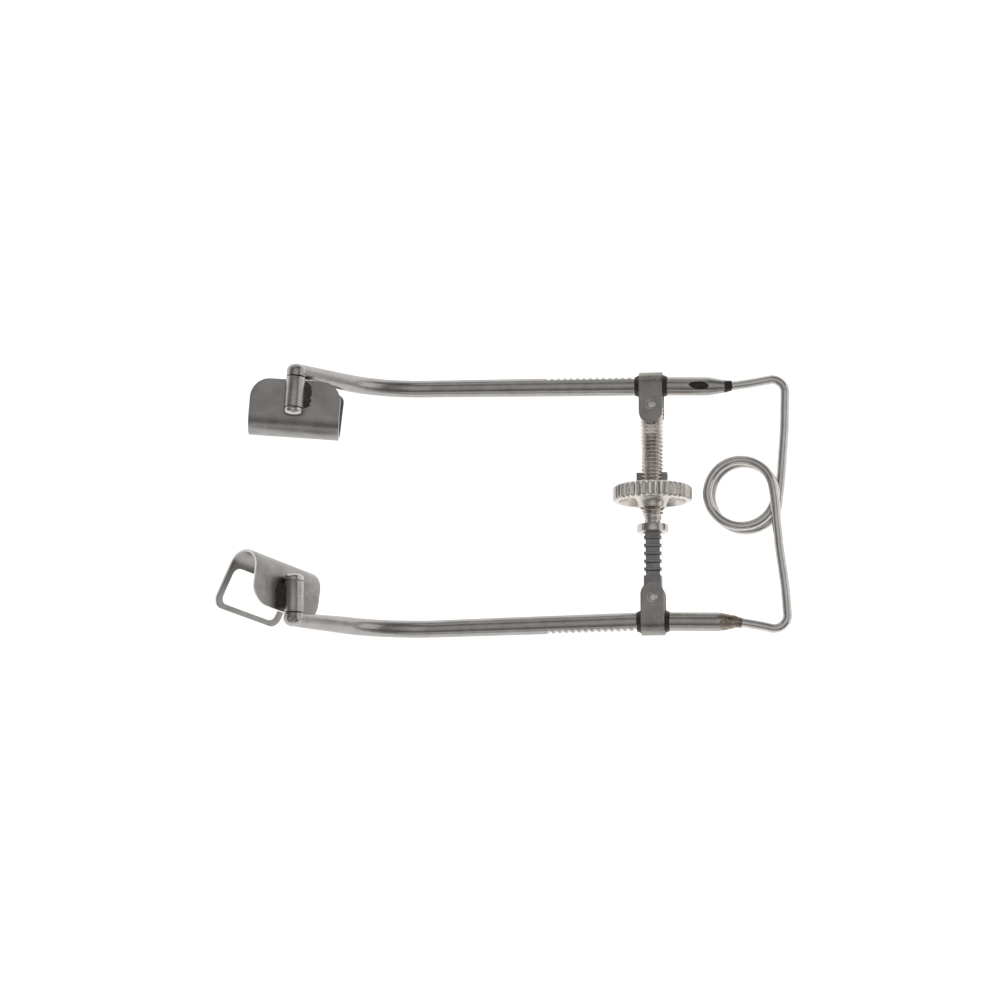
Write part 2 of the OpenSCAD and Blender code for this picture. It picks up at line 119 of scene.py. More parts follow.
def skin(name, rings, closed=False, smooth_below=35):
    """Skin over a row of rings of equal count; the ends are capped unless the row closes on itself"""
    count = len(rings[0])
    verts = [v for ring in rings for v in ring]
    faces = []
    for i in range(len(rings) - (0 if closed else 1)):
        here, there = i * count, (i + 1) % len(rings) * count
        for j in range(count):
            k = (j + 1) % count
            faces.append((here + j, here + k, there + k, there + j))
    if not closed:
        faces.append(tuple(range(count)))
        faces.append(tuple((len(rings) - 1) * count + j for j in range(count)))
    return piece_from(name, verts, faces, smooth_below)


def baked(piece):
    """Applies the modifiers of a piece to its mesh"""
    bpy.context.view_layer.update()
    shape = piece.evaluated_get(bpy.context.evaluated_depsgraph_get())
    mesh = bpy.data.meshes.new_from_object(shape)
    piece.modifiers.clear()
    piece.data = mesh
    return piece


def cut(piece, tool, operation="DIFFERENCE", smooth_below=35):
    """Cuts a piece with a tool, or joins the two, and throws the tool away"""
    step = piece.modifiers.new(operation, "BOOLEAN")
    step.operation = operation
    step.object = tool
    step.solver = "EXACT"
    baked(piece)
    bpy.data.objects.remove(tool)
    piece.data.polygons.foreach_set("use_smooth", [True] * len(piece.data.polygons))
    piece.data.set_sharp_from_angle(angle=radians(smooth_below))
    return piece


def sections(path, radius, sides=32, first=None):
    """Round sections square to a path, carried along it without twist. radius is a number or one per point"""
    rings = []
    side = first or up
    for i, point in enumerate(path):
        ahead = path[min(i + 1, len(path) - 1)] - path[max(i - 1, 0)]
        ahead.normalize()
        side = (side - ahead * side.dot(ahead)).normalized()
        other = ahead.cross(side)
        r = radius[i] if isinstance(radius, list) else radius
        rings.append([point + (side * cos(2 * pi * j / sides) + other * sin(2 * pi * j / sides)) * r * MM
                      for j in range(sides)])
    return rings


def lathe(name, profile, origin, axis, sides=64, shape=None, smooth_below=35):
    """Turns a profile of (radius, height) round an axis. A closed profile runs back through a bore;
    an open one starts and ends on the axis. shape(radius, height, angle) may move a point."""
    axis = axis.normalized()
    side = axis.orthogonal().normalized()
    other = axis.cross(side)
    rings = []
    for radius, height in profile:
        ring = []
        for j in range(sides):
            angle = 2 * pi * j / sides
            r = shape(radius, height, angle) if shape else radius
            ring.append(origin + (side * cos(angle) + other * sin(angle)) * r * MM + axis * height * MM)
        rings.append(ring)
    bored = profile[0][0] > 0.01
    if bored:
        return skin(name, rings, closed=True, smooth_below=smooth_below)
    return skin(name, rings, smooth_below=smooth_below)


def arc(start, end, steps):
    return [start + (end - start) * i / steps for i in range(steps + 1)]


def curved(points, steps=8):
    """A smooth line through points"""
    line = []
    for i in range(len(points) - 1):
        a = points[max(i - 1, 0)]
        b, c = points[i], points[i + 1]
        d = points[min(i + 2, len(points) - 1)]
        for k in range(steps):
            t = k / steps
            line.append(0.5 * ((2 * b) + (c - a) * t + (2 * a - 5 * b + 4 * c - d) * t * t
                               + (3 * b - a - 3 * c + d) * t * t * t))
    line.append(points[-1])
    return line


def corner(a, b, c, radius, steps=8):
    """The arc that rounds corner b between a and c"""
    into, out = (b - a).normalized(), (c - b).normalized()
    turn = into.angle(out)
    back = radius * MM * tan(turn / 2)
    start = b - into * back
    inward = (out - into * out.dot(into)).normalized()
    centre = start + inward * radius * MM
    return [centre - inward * radius * MM * cos(turn * i / steps) + into * radius * MM * sin(turn * i / steps)
            for i in range(steps + 1)]


def sheet_metal(name, line, side, half, gap=None, thick=0.6, edge=0.14):
    """Bent sheet: line is its middle, row by row, side the way across, half the half width of each row
    and gap the half width of the window, or None where the sheet is whole"""
    gaps = gap or [None] * len(line)
    widest = max((g for g in gaps if g), default=0)
    verts, faces, rows = [], [], []
    for point, reach, hole in zip(line, half, gaps):
        inner = hole or min(widest, reach * 0.6) or reach * 0.5
        stations = [-reach + (reach - inner) * i / 3 for i in range(4)]
        stations += [-inner + 2 * inner * i / 10 for i in range(1, 10)]
        stations += [inner + (reach - inner) * i / 3 for i in range(4)]
        rows.append(len(verts))
        verts += [point + side * s * MM for s in stations]
    count = 17
    for i in range(len(line) - 1):
        open_here = gaps[i] and gaps[i + 1]
        for j in range(count - 1):
            if open_here and 3 <= j < 13:
                continue
            faces.append((rows[i] + j, rows[i] + j + 1, rows[i + 1] + j + 1, rows[i + 1] + j))
    mesh = bpy.data.meshes.new(name)
    mesh.from_pydata([tuple(v) for v in verts], [], faces)
    work = bmesh.new()
    work.from_mesh(mesh)
    loose = [v for v in work.verts if not v.link_faces]
    bmesh.ops.delete(work, geom=loose, context="VERTS")
    bmesh.ops.recalc_face_normals(work, faces=work.faces)
    work.to_mesh(mesh)
    work.free()
    piece = bpy.data.objects.new(name, mesh)
    bpy.context.scene.collection.objects.link(piece)
    solid = piece.modifiers.new("gauge", "SOLIDIFY")
    solid.thickness = thick * MM
    solid.offset = 0
    solid.use_even_offset = True
    solid.material_offset_rim = 1
    round_over = piece.modifiers.new("broken edge", "BEVEL")
    round_over.width = edge * MM
    round_over.segments = 3
    round_over.limit_method = "ANGLE"
    round_over.angle_limit = radians(50)
    round_over.material = 1
    piece.data.materials.append(None)
    piece.data.materials.append(None)
    baked(piece)
    piece.data.polygons.foreach_set("use_smooth", [True] * len(piece.data.polygons))
    piece.data.set_sharp_from_angle(angle=radians(40))
    return piece


def bevelled_block(name, middle, half, edge, axes):
    """A block with broken edges, half its size each way along three axes"""
    work = bmesh.new()
    bmesh.ops.create_cube(work, size=2)
    for v in work.verts:
        v.co = middle + (axes[0] * v.co.x * half[0] + axes[1] * v.co.y * half[1]
                         + axes[2] * v.co.z * half[2]) * MM
    bmesh.ops.bevel(work, geom=work.edges[:], offset=edge * MM, segments=3, affect="EDGES", profile=0.5)
    mesh = bpy.data.meshes.new(name)
    work.to_mesh(mesh)
    work.free()
    mesh.polygons.foreach_set("use_smooth", [True] * len(mesh.polygons))
    mesh.set_sharp_from_angle(angle=radians(40))
    piece = bpy.data.objects.new(name, mesh)
    bpy.context.scene.collection.objects.link(piece)
    return piece


def rough(point, size, amount):
    """Unevenness of a surface made by hand, the same at every run"""
    return noise.noise(point / (size * MM)) * amount


def finish_as(piece, node, *materials):
    """Gives a piece its finish and lets it stand for its CAD node, on that node's body"""
    for i, material in enumerate(materials):
        if i < len(piece.data.materials):
            piece.data.materials[i] = material
        else:
            piece.data.materials.append(material)
    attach(piece, frame["nodes"][node]["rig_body"])
    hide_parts(node)
    return piece


# ---- Finishes ----


def linear(hex_colour):
    """An sRGB hex value as the linear colour the shader takes"""
    parts = [int(hex_colour[i:i + 2], 16) / 255 for i in (1, 3, 5)]
    return [p / 12.92 if p <= 0.04045 else ((p + 0.055) / 1.055) ** 2.4 for p in parts] + [1.0]


def add(tree, kind, inputs=(), **settings):
    """Adds one node with its settings; an input is a value, or the output to link"""
    made = tree.nodes.new(kind)
    for name, value in settings.items():
        setattr(made, name, value)
    for name, value in inputs:
        if isinstance(value, bpy.types.NodeSocket):
            tree.links.new(value, made.inputs[name])
        else:
            made.inputs[name].default_value = value
    return made


def steel(name, pale, dark, roughness, grain, lay=(1, 1, 1), relief=0.02, spread=0.08, patch=3.0, metal=1.0):
    """A metal surface: pale and dark are its two tones, grain the size of its marks in mm, lay how far
    they are drawn out each way, relief their depth, patch the size of the cloudy tone changes in mm"""
    material = bpy.data.materials.new(name)
    material.use_nodes = True
    tree = material.node_tree
    shader = tree.nodes["Principled BSDF"]
    shader.inputs["Metallic"].default_value = metal
    where = add(tree, "ShaderNodeTexCoord").outputs["Object"]
    clouds = add(tree, "ShaderNodeTexNoise", [("Vector", where), ("Scale", 1000 / patch), ("Detail", 4.0),
                                              ("Roughness", 0.6)])
    drawn = add(tree, "ShaderNodeMapping", [("Vector", where), ("Scale", [1000 / (grain * k) for k in lay])])
    marks = add(tree, "ShaderNodeTexNoise", [("Vector", drawn.outputs[0]), ("Scale", 1.0), ("Detail", 3.0)])
    both = add(tree, "ShaderNodeMix", [("Factor", 0.45), ("A", clouds.outputs["Fac"]),
                                       ("B", marks.outputs["Fac"])])
    tone = add(tree, "ShaderNodeValToRGB", [("Fac", both.outputs["Result"])])
    tone.color_ramp.elements[0].position = 0.36
    tone.color_ramp.elements[0].color = linear(dark)
    tone.color_ramp.elements[1].position = 0.62
    tone.color_ramp.elements[1].color = linear(pale)
    tree.links.new(tone.outputs["Color"], shader.inputs["Base Color"])
    sheen = add(tree, "ShaderNodeMapRange", [("Value", both.outputs["Result"]), ("From Min", 0.35),
                                             ("From Max", 0.65),
                                             ("To Min", roughness - spread), ("To Max", roughness + spread)])
    tree.links.new(sheen.outputs["Result"], shader.inputs["Roughness"])
    bump = add(tree, "ShaderNodeBump", [("Strength", 0.6), ("Distance", relief * MM),
                                        ("Height", marks.outputs["Fac"])])
    tree.links.new(bump.outputs["Normal"], shader.inputs["Normal"])
    return material


# Stainless bar, satin polished lengthwise: soft long reflections with faint lines along the arm
satin_arm_steel = steel("satin_arm_steel", "#aca9a6", "#9b9895", 0.22, 0.25, lay=(14, 1, 1),
                        relief=0.003, spread=0.04)
# Turned barrel, satin: one broad soft highlight along it with faint rings
satin_turned_steel = steel("satin_turned_steel", "#b4b1ae", "#9f9c99", 0.3, 0.2, lay=(8, 1, 8), relief=0.002,
                           spread=0.05)
# Turned and polished stainless: clear bright reflections with a little haze
polished_steel = steel("polished_steel", "#c6c3c0", "#b2afac", 0.15, 0.2, lay=(1, 8, 1), relief=0.006,
                       spread=0.05)
# Stainless strip, filed and hand finished: broad satin sheen with crossing scuffs
filed_strap_steel = steel("filed_strap_steel", "#9c9894", "#817d79", 0.29, 0.3, lay=(1, 4, 1), relief=0.02)
# Stainless sheet, bead blasted: even grey sheen without lines
blasted_sheet_steel = steel("blasted_sheet_steel", "#a5a3a0", "#807d7a", 0.32, 0.12, relief=0.012, patch=4.0)
# Edge of the sheet, painted pale as a highlight: a thin light line round each blade
edge_highlight_steel = steel("edge_highlight_steel", "#e4e2df", "#cdcac7", 0.2, 0.2, relief=0.005)
# Drawn spring wire, polished: long clear reflections
drawn_wire_steel = steel("drawn_wire_steel", "#cecbc7", "#bab7b3", 0.18, 0.3, relief=0.005, spread=0.05)
# Die-cut thread: warm silver with torn flanks
cut_thread_steel = steel("cut_thread_steel", "#e6e0da", "#b5aea8", 0.3, 0.15, lay=(3, 1, 3), relief=0.02)
# Turned and straight-knurled nut: bright crests with sparkling grain
knurled_nut_steel = steel("knurled_nut_steel", "#e2dcd6", "#bab4ad", 0.25, 0.14, relief=0.03,
                          spread=0.1, patch=1.2)
# Milled steel left from the file: dull dark grey with scratches
filed_dark_steel = steel("filed_dark_steel", "#a5a29f", "#787572", 0.42, 0.16, lay=(6, 1, 3),
                         relief=0.03, patch=1.5)
# Braze: nearly black, uneven, slightly glossy
black_braze = steel("black_braze", "#39322e", "#171412", 0.45, 0.3, relief=0.05, spread=0.1, patch=1.0,
                    metal=0.2)
# Solder filling in the arm: black with a brown cast
dark_solder = steel("dark_solder", "#37322f", "#1c1a1a", 0.34, 0.4, relief=0.03, patch=1.2, metal=0.4)
# Solder tinted by heat: brown and straw clouds over grey steel
heat_tinted_solder = steel("heat_tinted_solder", "#b3a698", "#5c5048", 0.33, 0.3, relief=0.03,
                           patch=1.6, metal=0.85)


# ---- Arms ----

BEND_U, BEND_RADIUS, RISE = 58.5, 21.0, 47.0
ARM_Y, BEND_Y, KNUCKLE_Y = 25.45, 26.25, 26.5
# Radius of the bar at the strap, of its filed end, and through the bend
ARM_R, TAIL_R, BEND_R = 2.0, 1.32, 1.85
# Where each arm ends beside the spring, along and across
UPPER_TAIL, LOWER_TAIL = (15.9, 24.95), (17.3, 25.85)
TAIL_LENGTH = 3.6
TOOTH_PITCH, TOOTH_DEPTH, TOOTH_START, TEETH = 1.39, 0.65, -3.4, 14
bend_turn = radians(RISE) + pitch
END_LENGTH = 25.6
knuckle_u = -BEND_U - END_LENGTH * cos(bend_turn)
knuckle_w = END_LENGTH * sin(bend_turn)


def grip_tooth(u):
    """How deep the filed tooth is at a station along the arm"""
    steps = (TOOTH_START - u) / TOOTH_PITCH
    if not 0 <= steps < TEETH:
        return 0.0
    part = steps % 1
    depth = part / 0.38 if part < 0.38 else (1 - part) / 0.62
    return TOOTH_DEPTH * min(1.0, depth * 1.04)


def arm(name, side, tail):
    """Bar from the filed tail, under the strap, along the grip and the bend, up to the knuckle"""
    tail = Vector(tail)
    root = Vector((0, ARM_Y))
    reach = (tail - root).length
    stations = []
    for step in range(25):
        s = reach * (1 - step / 24)
        point = root + (tail - root) * s / reach
        filed = max(0.0, (s - (reach - TAIL_LENGTH)) / TAIL_LENGTH)
        stations.append((point.x, point.y, 0.0, ARM_R - (ARM_R - TAIL_R) * filed))
    tangent = BEND_RADIUS * tan(bend_turn / 2)
    u = -0.3
    while u > -BEND_U + tangent:
        share = -u / (BEND_U - tangent)
        stations.append((u, ARM_Y + (BEND_Y - ARM_Y) * share, 0.0, ARM_R - (ARM_R - BEND_R) * share ** 2))
        u -= TOOTH_PITCH / 10 if TOOTH_START + 0.5 > u > TOOTH_START - TEETH * TOOTH_PITCH - 0.2 else 1.2
    for step in range(31):
        turn = bend_turn * step / 30
        stations.append((-BEND_U + tangent - BEND_RADIUS * sin(turn), BEND_Y,
                         BEND_RADIUS * (1 - cos(turn)), BEND_R))
    last = stations[-1]
    for step in range(1, 19):
        t = step / 18
        ease = t * t * (3 - 2 * t)
        stations.append((last[0] + (knuckle_u - last[0]) * t,
                         BEND_Y + (KNUCKLE_Y - BEND_Y) * (t * 0.5 + ease * 0.5),
                         last[2] + (knuckle_w - last[2]) * t, BEND_R - 0.4 * t))
    path = [plane(u, side * y, w) for u, y, w, r in stations]
    rings = sections(path, [s[3] for s in stations], sides=48)
    for ring, point, (u, y, w, r) in zip(rings, path, stations):
        depth = grip_tooth(u)
        if depth > 0:
            limit = (y + r - depth) * MM
            for j, v in enumerate(ring):
                if v.y * side > limit:
                    ring[j] = Vector((v.x, side * limit, v.z))
    return skin(name, rings, smooth_below=28)


def knuckle(name, middle, axis):
    """Domed knob on the end of the arm that holds the pin"""
    near, far, r = 25.15, 27.95, 2.05
    profile = [(0, near), (r - 0.25, near), (r - 0.07, near + 0.06), (r, near + 0.25), (r, far - 1.5)]
    profile += [(r * cos(a), far - 1.5 + 1.5 * sin(a)) for a in arc(0, pi / 2, 9)[1:-1]] + [(0, far)]
    profile = [(radius, height - KNUCKLE_Y) for radius, height in profile]
    return lathe(name, profile, middle, axis, sides=56, smooth_below=45)


upper_pin_axis = Vector(joints["upper_blade_swivel"]["axis"])
lower_pin_axis = -Vector(joints["lower_blade_swivel"]["axis"])
upper_arm = arm("upper_arm_bar", 1, UPPER_TAIL)
upper_knuckle = plane(knuckle_u, KNUCKLE_Y, knuckle_w)
cut(upper_arm, knuckle("upper_knob", upper_knuckle, upper_pin_axis), "UNION", 30)
finish_as(upper_arm, "upper_arm", satin_arm_steel)
lower_arm = arm("lower_arm_bar", -1, LOWER_TAIL)
lower_knuckle = plane(knuckle_u, -KNUCKLE_Y, knuckle_w)
cut(lower_arm, knuckle("lower_knob", lower_knuckle, lower_pin_axis), "UNION", 30)
# Punch marks on top of the lower knob, at (x, y) from its middle
for mark_x, mark_y in ((-0.7, 0.9), (0.5, 1.1), (0.2, -0.9)):
    mark = lower_knuckle + Vector((mark_x, -0.35 * mark_y, 2.15)) * MM
    punch = [(0.48 * sin(a), -0.48 * cos(a)) for a in arc(0, pi, 10)]
    cut(lower_arm, lathe("punch", punch, mark, Vector((0, 0, 1)), sides=20), "DIFFERENCE", 30)
finish_as(lower_arm, "lower_arm", satin_arm_steel)

# ---- Pins, caps and barrels ----

BARREL_MIDDLE = 21.725


def turned_parts(prefix, origin, axis):
    """Swivel barrel, its pin and the riveted domed cap, along an axis that points to the arm"""
    half = 3.275
    barrel = lathe(prefix + "_barrel_tube", [
        (1.28, -half + 0.1), (1.38, -half), (1.88, -half), (2.0, -half + 0.05), (2.05, -half + 0.18),
        (2.05, 0), (2.05, half - 0.18), (2.0, half - 0.05), (1.88, half), (1.38, half), (1.28, half - 0.1),
        (1.28, 0)], origin, axis, sides=64)
    finish_as(barrel, prefix + "_blade_barrel", satin_turned_steel)
    foot, head = 17.65 - BARREL_MIDDLE, 26.65 - BARREL_MIDDLE
    pin = lathe(prefix + "_pin_rod", [
        (0, foot), (1.1, foot), (1.2, foot + 0.1), (1.2, head - 0.1), (1.1, head), (0, head)],
        origin, axis, sides=40)
    finish_as(pin, prefix + "_pivot_pin", polished_steel)
    top = 18.3 - BARREL_MIDDLE
    dome = [(2.0 * sin(a), 17.62 - BARREL_MIDDLE - 0.77 * cos(a)) for a in arc(0, pi / 2, 10)]
    cap = lathe(prefix + "_cap_dome", dome + [(2.05, 17.75 - BARREL_MIDDLE), (2.05, top - 0.12), (1.95, top),
                                              (0, top)], origin, axis, sides=64, smooth_below=40)
    finish_as(cap, prefix + "_pin_cap", polished_steel)


upper_pivot = Vector(joints["upper_blade_swivel"]["pos_m"])
lower_pivot = Vector(joints["lower_blade_swivel"]["pos_m"])
turned_parts("upper", upper_pivot, upper_pin_axis)
turned_parts("lower", lower_pivot, lower_pin_axis)

# ---- Blades ----

BLADE_WIDTH, SHEET, LIP = 19.2, 0.6, 9.7
WINDOW_FROM, WINDOW_TO, WINDOW_HALF = 0.5, 8.5, 8.0
PLATE_CORNER, LIP_CORNER, WINDOW_CORNER = 4.2, 2.3, 1.6
upper_blade_axes = (Vector((upper_pin_axis.y, -upper_pin_axis.x, 0)), upper_pin_axis, Vector((0, 0, 1)))
# The lower blade has swung over until its plate leans on the arm; the plate sits askew on its barrel
lower_swing = Matrix.Rotation(radians(50), 3, "Y") @ Matrix.Rotation(radians(180), 3, "Z")
lower_skew = lower_swing @ Matrix.Rotation(radians(-9), 3, "Z")
lower_blade_axes = tuple(lower_skew @ Vector(way) for way in ((1, 0, 0), (0, 1, 0), (0, 0, 1)))
lower_barrel_axes = tuple(lower_swing @ Vector(way) for way in ((1, 0, 0), (0, 1, 0), (0, 0, 1)))


def corner_width(half, radius, distance):
    """Half width of a sheet with rounded corners at a distance from its end"""
    if distance >= radius:
        return half
    return half - radius + sqrt(max(0.0, radius ** 2 - (radius - distance) ** 2))


def blade(name, node, origin, axes):
    """Plate on the barrel, folded over at its inner end into a flared lip with a window"""
    a, b, c = axes
    plate_end, fold_b, middle_c, fold_r = 3.2, -4.1, -2.35, 4.0
    plate = plate_end - fold_b
    turn = radians(156)
    fold = fold_r * turn
    corner_rows = [PLATE_CORNER * (1 - cos(t)) for t in arc(0, pi / 2, 8)]
    rows = corner_rows + [5.0, 6.0, plate]
    rows += [plate + fold * i / 22 for i in range(1, 23)]
    lip_from = plate + fold
    window = [WINDOW_FROM + WINDOW_CORNER * (1 - cos(t)) for t in arc(0, pi / 2, 6)]
    window += [WINDOW_TO - WINDOW_CORNER * (1 - cos(t)) for t in arc(pi / 2, 0, 6)]
    lip = sorted(set(round(x, 4) for x in [0.25] + window + [3.8, 5.0, 6.2] + [
        LIP - LIP_CORNER * (1 - cos(t)) for t in arc(pi / 2, 0, 8)]))
    rows += [lip_from + x for x in lip]
    line, half, gaps = [], [], []
    for s in rows:
        if s <= plate:
            point = (plate_end - s, middle_c)
        elif s <= lip_from:
            t = (s - plate) / fold_r
            point = (fold_b - fold_r * sin(t), middle_c - fold_r + fold_r * cos(t))
        else:
            t = s - lip_from
            point = (fold_b - fold_r * sin(turn) - cos(turn) * t,
                     middle_c - fold_r + fold_r * cos(turn) - sin(turn) * t)
        line.append(origin + (b * point[0] + c * point[1]) * MM)
        here = s - lip_from
        half.append(min(corner_width(BLADE_WIDTH / 2, PLATE_CORNER, s),
                        corner_width(BLADE_WIDTH / 2, LIP_CORNER, LIP - here)))
        inside = min(here - WINDOW_FROM, WINDOW_TO - here)
        gaps.append(corner_width(WINDOW_HALF, WINDOW_CORNER, max(inside, 0)) if inside > -1e-4 else None)
    sheet = sheet_metal(name, line, a, half, gaps, SHEET, 0.26)
    # The rim and bevel faces take the pale edge colour, a painted highlight round each blade
    return finish_as(sheet, node, blasted_sheet_steel, edge_highlight_steel)


def barrel_braze(name, node, origin, axes):
    """Nearly black fillet down one side of the barrel"""
    a, b, c = axes
    outline = [(1.0, -2.05), (2.2, -2.05), (3.3, -2.05), (3.15, -1.85), (2.8, -1.45), (2.45, -1.05),
               (2.15, -0.6), (1.95, -0.4), (1.6, -0.5), (1.3, -1.0)]
    rings = []
    for i in range(25):
        t = -1 + 2 * i / 24
        swell = (1 - abs(t) ** 6) ** 0.5 if abs(t) < 1 else 0.05
        ring = []
        for x, z in outline:
            place = origin + (b * 2.9 * t + a * x + c * z) * MM
            grow = swell * (1 + rough(place, 0.9, 0.22) + rough(place, 0.35, 0.10))
            ring.append(origin + (b * 2.9 * t + a * (1.0 + (x - 1.0) * grow)
                                  + c * (-2.05 + (z + 2.05) * grow)) * MM)
        rings.append(ring)
    return finish_as(skin(name, rings, smooth_below=60), node, black_braze)


blade("upper_blade_sheet", "upper_blade", upper_pivot, upper_blade_axes)
blade("lower_blade_sheet", "lower_blade", lower_pivot, lower_blade_axes)
barrel_braze("upper_barrel_fillet", "upper_barrel_braze", upper_pivot, upper_blade_axes)
barrel_braze("lower_barrel_fillet", "lower_barrel_braze", lower_pivot, lower_barrel_axes)

# ---- Straps, rivets and their braze ----

STRAP_HALF = 2.5
UPPER_RIVET_Y, LOWER_RIVET_Y = 20.9, -20.6
# How far the braze on the grip side leans with the arm
GRIP_SLOPE = -0.35 / 51


def strap(name, node, side, end_y):
    """Stirrup bent round the arm, with a leg on each face of the rod or bar"""
    middle = 2.5
    leg = ARM_Y - end_y
    around = pi * middle
    rows = [2.5 * (1 - cos(t)) for t in arc(0, pi / 2, 9)] + [3.5, 5.0, 6.5, leg]
    rows += [leg + around * i / 24 for i in range(1, 25)]
    total = 2 * leg + around
    rows += [total - s for s in reversed(rows) if s < leg - 0.01]
    line, half = [], []
    for s in rows:
        if s <= leg:
            y, w = end_y + s, middle
        elif s <= leg + around:
            t = (s - leg) / middle
            y, w = ARM_Y + middle * sin(t), middle * cos(t)
        else:
            y, w = ARM_Y - (s - leg - around), -middle
        line.append(plane(0, side * y, w))
        half.append(corner_width(STRAP_HALF, 2.45, min(s, total - s)))
    strip = sheet_metal(name, line, along, half, None, 1.0, 0.28)
    return finish_as(strip, node, filed_strap_steel, filed_strap_steel)


def rivet(name, node, y):
    """Rivet through the strap, dressed to a low dome at both ends"""
    top = 3.18
    dome = [(1.0 * sin(a), top - 0.14 + 0.22 * cos(a)) for a in arc(0, pi / 2, 8)]
    profile = dome + [(1.1, top - 0.2), (1.1, 0)]
    profile += [(r, -h) for r, h in reversed(profile[:-1])]
    shank = lathe(name, profile, plane(0, y, 0), up, sides=48, smooth_below=50)
    return finish_as(shank, node, polished_steel)


def strap_braze(name, node, side, tail_slope):
    """Black rings of braze where the strap meets the arm, thick at the strap and feathered outwards"""
    rings = []
    for end in (-1, 1):
        slope = tail_slope if end > 0 else GRIP_SLOPE
        profile = [(2.02, 2.55), (2.42, 2.55), (2.36, 2.8), (2.2, 3.05), (2.1, 3.3), (2.04, 3.5), (2.0, 3.5),
                   (2.0, 3.0)]
        axis = (along * end + across * side * slope * end).normalized()

        def uneven(radius, height, angle, end=end):
            place = Vector((cos(angle) * 2, sin(angle) * 2, end * 5 + side * 9))
            return radius + (noise.noise(place * 1.1) * 0.12 if radius > 2.03 else 0)

        rings.append(lathe(name + ("_tail" if end > 0 else "_grip"), profile, plane(0, side * ARM_Y, 0), axis,
                           sides=64, shape=uneven, smooth_below=60))
    join = cut(rings[0], rings[1], "UNION", 60)
    join.name = name
    return finish_as(join, node, black_braze)


strap("upper_strap_strip", "upper_strap", 1, 16.9)
strap("lower_strap_strip", "lower_strap", -1, 17.45)
rivet("upper_rivet_head", "upper_rivet", UPPER_RIVET_Y)
rivet("lower_rivet_head", "lower_rivet", LOWER_RIVET_Y)
strap_braze("upper_strap_ring", "upper_strap_braze", 1, (UPPER_TAIL[1] - ARM_Y) / UPPER_TAIL[0])
strap_braze("lower_strap_ring", "lower_strap_braze", -1, (LOWER_TAIL[1] - ARM_Y) / LOWER_TAIL[0])

# ---- Spring ----

COIL_U, COIL_Y, COIL_R, WIRE = 18.8, 1.53, 7.0, 1.0


def spring_wire():
    """One wire from arm to arm: round the corner of each leg, with nearly two turns in the coil"""
    def at(u, y, w):
        return Vector((u, y, w))

    upper = corner(at(15.9, 24.95, 0) * MM, at(28.7, 26.5, 0) * MM, at(28.35, 19, 0) * MM, 2.8)
    lower = corner(at(17.3, -25.85, 0) * MM, at(28.4, -28.0, 0) * MM, at(28.15, -22.6, 0) * MM, 2.8)
    head = [at(11.6, 25.09, 0), at(15.9, 24.95, 0), at(20.5, 25.35, 0)] + [p / MM for p in upper]
    head += [at(28.42, 20, -0.35), at(28.2, 15, -0.8), at(27.75, 10, -1.25), at(27.3, 5.3, -1.65),
             at(26.85, 1.4, -1.9)]
    coil = []
    for i in range(45):
        angle = -25 - 675 * i / 44
        c, s = turned(angle)
        slip = 1.1 * max(0.0, 1 - i / 30)  # the first turn sits a little off the second
        coil.append(at(COIL_U + COIL_R * c + slip, COIL_Y + COIL_R * s - 0.6 * slip, -2.0 + 4.0 * i / 44))
    foot = [at(25.82, 1.9, 1.95), at(26.12, -1.0, 1.8), at(26.32, -4.2, 1.6), at(26.58, -7.5, 1.35),
            at(26.88, -10.8, 1.05), at(27.35, -14.4, 0.8),
            at(27.85, -18.6, 0.4), at(28.1, -22.0, 0.1)]
    foot += [p / MM for p in reversed(lower)]
    foot += [at(22.5, -26.75, 0), at(17.3, -25.85, 0), at(13.1, -25.75, 0)]
    path = [plane(p.x, p.y, p.z) for p in curved(head + coil + foot, 4)]
    wire = skin("spring_wire", sections(path, WIRE, sides=24), smooth_below=60)
    wire.data.materials.append(drawn_wire_steel)
    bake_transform(wire)
    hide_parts("spring_upper", "spring_lower")
    return wire


def wire_solder(name, node, side, tail, ahead, finish, cover):
    """Solder run over the filed end of the arm and out along the wire"""
    tail, ahead = Vector(tail), Vector(ahead)
    root = Vector((0, ARM_Y))
    slope = (tail - root).normalized()
    path, radii = [], []
    for i in range(25):
        t = i / 24
        s = -cover + (cover + 1.5) * t
        point = tail + (slope * s if s < 0 else (ahead - tail).normalized() * s)
        path.append(plane(point.x, side * point.y, 0))
        body = ARM_R - (ARM_R - TAIL_R) * (1 + s / TAIL_LENGTH) if s < 0 else TAIL_R - 0.27 * sqrt(s / 1.5)
        radii.append(body + 0.035 * sin(pi * min(1, t * 1.02)))
    rings = sections(path, radii, sides=36)
    for ring, point in zip(rings, path):
        for j, v in enumerate(ring):
            out = v - point
            ring[j] = point + out * (1 + rough(v, 1.1, 0.03) + rough(v, 0.4, 0.02))
    return finish_as(skin(name, rings, smooth_below=60), node, finish)


spring_wire()
wire_solder("upper_wire_joint", "upper_wire_solder", 1, UPPER_TAIL, (28.7, 26.5), black_braze, 0.3)
wire_solder("lower_wire_joint", "lower_wire_solder", -1, LOWER_TAIL, (28.4, 28.0), heat_tinted_solder, 3.3)


